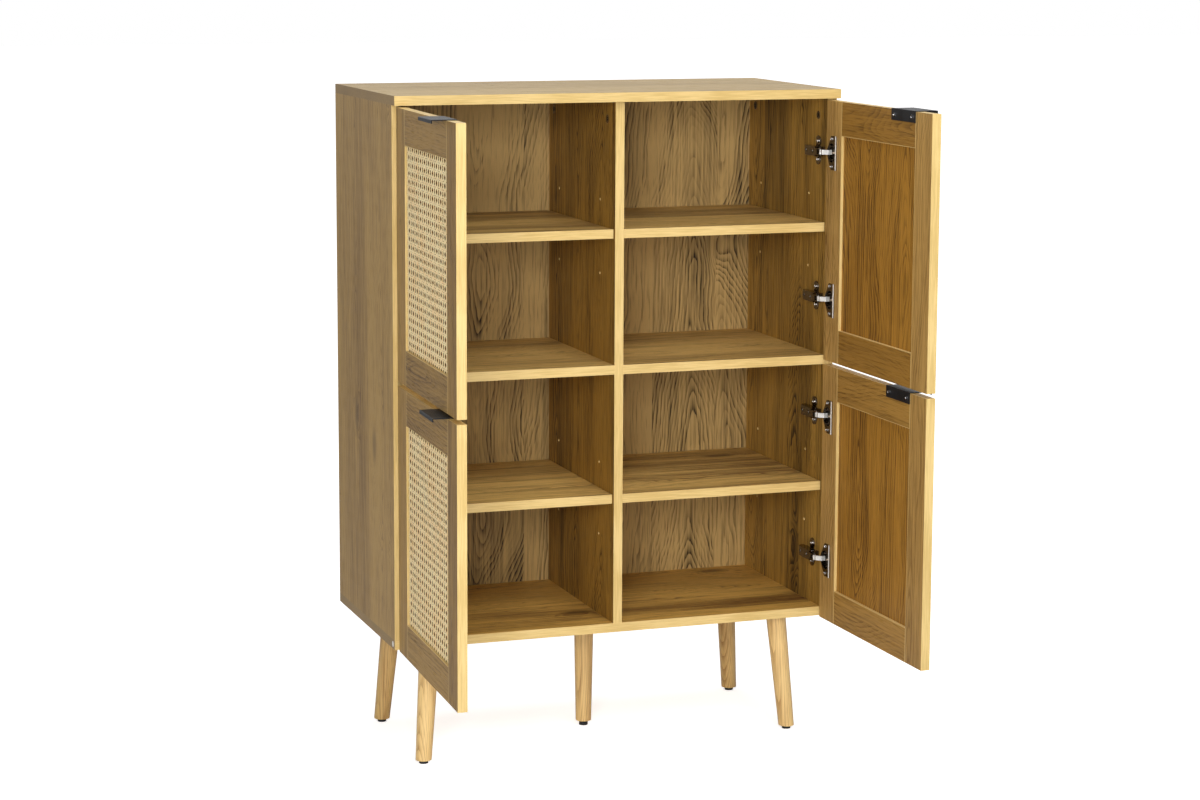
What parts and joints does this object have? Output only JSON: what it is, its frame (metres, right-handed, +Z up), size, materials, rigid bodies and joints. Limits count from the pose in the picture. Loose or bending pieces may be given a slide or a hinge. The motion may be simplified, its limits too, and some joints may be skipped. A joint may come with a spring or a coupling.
{
  "type": "shoe cabinet",
  "caption": "Free-standing shoe cabinet with framed cane doors on concealed hinges, adjustable shelves and splayed round wooden legs.",
  "frame": {"origin": "on the floor, at the middle of the centre foot's underside", "axes": "+Z up, +Y towards the back of the cabinet, +X to the right as seen from the front"},
  "size_m": [0.8567, 0.7806, 1.15],
  "materials": {
    "top_oak": "satin oak melamine, grain along X",
    "shelf_oak": "satin oak melamine, grain along X",
    "panel_oak": "satin oak melamine, upright grain",
    "back_oak": "printed oak, upright grain",
    "frame_oak": "satin oak melamine",
    "board_oak": "satin oak melamine, upright grain",
    "cane": "open woven cane",
    "handle_black": "matt black powder coat",
    "foot_black": "matt black, with a steel stem",
    "leg_oak": "satin lacquered solid wood",
    "dowel_beech": "plain",
    "hinge_nickel": "nickel plated",
    "zinc": "zinc",
    "plate_steel": "zinc plated",
    "screw_steel": "zinc plated"
  },
  "bodies": {
    "carcass": {"top_panel": "top_oak", "bottom_panel": "shelf_oak", "left_side_panel": "panel_oak", "right_side_panel": "panel_oak", "centre_divider": "panel_oak", "back_panels": "back_oak", "left_fixed_shelf": "shelf_oak", "right_fixed_shelf": "shelf_oak", "shelf_pins": "zinc", "cam_locks": "zinc", "cam_bolts": "screw_steel", "dowels": "dowel_beech", "base_screws": "screw_steel", "end_plugs": "zinc", "hinge_plates": "hinge_nickel", "hinge_arms": "hinge_nickel", "hinge_plate_screws": "screw_steel", "corner_legs": "leg_oak", "centre_leg": "leg_oak", "leg_plates": "plate_steel", "leg_plate_screws": "screw_steel", "leg_bolts": "screw_steel"},
    "upper_left_shelf": {"upper_left_shelf": "shelf_oak"},
    "upper_right_shelf": {"upper_right_shelf": "shelf_oak"},
    "lower_left_shelf": {"lower_left_shelf": "shelf_oak"},
    "lower_right_shelf": {"lower_right_shelf": "shelf_oak"},
    "upper_left_door": {"upper_left_door_frame": "frame_oak", "upper_left_door_board": "board_oak", "upper_left_cane": "cane", "upper_left_handle": "handle_black", "upper_left_hinge_cups": "hinge_nickel", "upper_left_door_screws": "screw_steel"},
    "upper_left_hinge_links": {"upper_left_hinge_links": "hinge_nickel"},
    "upper_right_door": {"upper_right_door_frame": "frame_oak", "upper_right_door_board": "board_oak", "upper_right_cane": "cane", "upper_right_handle": "handle_black", "upper_right_hinge_cups": "hinge_nickel", "upper_right_door_screws": "screw_steel"},
    "upper_right_hinge_links": {"upper_right_hinge_links": "hinge_nickel"},
    "lower_left_door": {"lower_left_door_frame": "frame_oak", "lower_left_door_board": "board_oak", "lower_left_cane": "cane", "lower_left_handle": "handle_black", "lower_left_hinge_cups": "hinge_nickel", "lower_left_door_screws": "screw_steel"},
    "lower_left_hinge_links": {"lower_left_hinge_links": "hinge_nickel"},
    "lower_right_door": {"lower_right_door_frame": "frame_oak", "lower_right_door_board": "board_oak", "lower_right_cane": "cane", "lower_right_handle": "handle_black", "lower_right_hinge_cups": "hinge_nickel", "lower_right_door_screws": "screw_steel"},
    "lower_right_hinge_links": {"lower_right_hinge_links": "hinge_nickel"},
    "front_left_foot": {"front_left_foot": "foot_black"},
    "front_right_foot": {"front_right_foot": "foot_black"},
    "rear_left_foot": {"rear_left_foot": "foot_black"},
    "rear_right_foot": {"rear_right_foot": "foot_black"},
    "centre_foot": {"centre_foot": "foot_black"}
  },
  "joints": [
    {"name": "upper_left_door_hinge", "type": "hinge", "parent": "carcass", "child": "upper_left_door", "pos_m": [-0.3917, -0.1937, 0.9038], "axis": [0, 0, -1], "range_deg": [-92.3, 7.7]},
    {"name": "upper_left_link_pivot", "type": "hinge", "parent": "carcass", "child": "upper_left_hinge_links", "pos_m": [-0.368, -0.1845, 0.9038], "axis": [0, 0, -1], "range_deg": [-4.1, 43.7]},
    {"name": "upper_right_door_hinge", "type": "hinge", "parent": "carcass", "child": "upper_right_door", "pos_m": [0.3917, -0.1937, 0.9038], "axis": [0, 0, 1], "range_deg": [-91, 9]},
    {"name": "upper_right_link_pivot", "type": "hinge", "parent": "carcass", "child": "upper_right_hinge_links", "pos_m": [0.368, -0.1845, 0.9038], "axis": [0, 0, 1], "range_deg": [-4.71, 43.09]},
    {"name": "lower_left_door_hinge", "type": "hinge", "parent": "carcass", "child": "lower_left_door", "pos_m": [-0.3917, -0.1937, 0.4413], "axis": [0, 0, -1], "range_deg": [-92.3, 7.7]},
    {"name": "lower_left_link_pivot", "type": "hinge", "parent": "carcass", "child": "lower_left_hinge_links", "pos_m": [-0.368, -0.1845, 0.4413], "axis": [0, 0, -1], "range_deg": [-4.1, 43.7]},
    {"name": "lower_right_door_hinge", "type": "hinge", "parent": "carcass", "child": "lower_right_door", "pos_m": [0.3917, -0.1937, 0.4413], "axis": [0, 0, 1], "range_deg": [-91, 9]},
    {"name": "lower_right_link_pivot", "type": "hinge", "parent": "carcass", "child": "lower_right_hinge_links", "pos_m": [0.368, -0.1845, 0.4413], "axis": [0, 0, 1], "range_deg": [-4.71, 43.09]},
    {"name": "upper_left_shelf_lift", "type": "slide", "parent": "carcass", "child": "upper_left_shelf", "axis": [0, 0, 1], "range_m": [0, 0.04]},
    {"name": "upper_right_shelf_lift", "type": "slide", "parent": "carcass", "child": "upper_right_shelf", "axis": [0, 0, 1], "range_m": [0, 0.04]},
    {"name": "lower_left_shelf_lift", "type": "slide", "parent": "carcass", "child": "lower_left_shelf", "axis": [0, 0, 1], "range_m": [0, 0.04]},
    {"name": "lower_right_shelf_lift", "type": "slide", "parent": "carcass", "child": "lower_right_shelf", "axis": [0, 0, 1], "range_m": [0, 0.04]},
    {"name": "front_left_foot_screw", "type": "slide", "parent": "carcass", "child": "front_left_foot", "axis": [0, 0, -1], "range_m": [0, 0.008]},
    {"name": "front_right_foot_screw", "type": "slide", "parent": "carcass", "child": "front_right_foot", "axis": [0, 0, -1], "range_m": [0, 0.008]},
    {"name": "rear_left_foot_screw", "type": "slide", "parent": "carcass", "child": "rear_left_foot", "axis": [0, 0, -1], "range_m": [0, 0.008]},
    {"name": "rear_right_foot_screw", "type": "slide", "parent": "carcass", "child": "rear_right_foot", "axis": [0, 0, -1], "range_m": [0, 0.008]},
    {"name": "centre_foot_screw", "type": "slide", "parent": "carcass", "child": "centre_foot", "axis": [0, 0, -1], "range_m": [-0.0025, 0.005]}
  ],
  "couplings": [
    {"joint": "upper_left_link_pivot", "follows": "upper_left_door_hinge", "ratio": -0.468},
    {"joint": "upper_right_link_pivot", "follows": "upper_right_door_hinge", "ratio": -0.468},
    {"joint": "lower_left_link_pivot", "follows": "lower_left_door_hinge", "ratio": -0.468},
    {"joint": "lower_right_link_pivot", "follows": "lower_right_door_hinge", "ratio": -0.468}
  ]
}
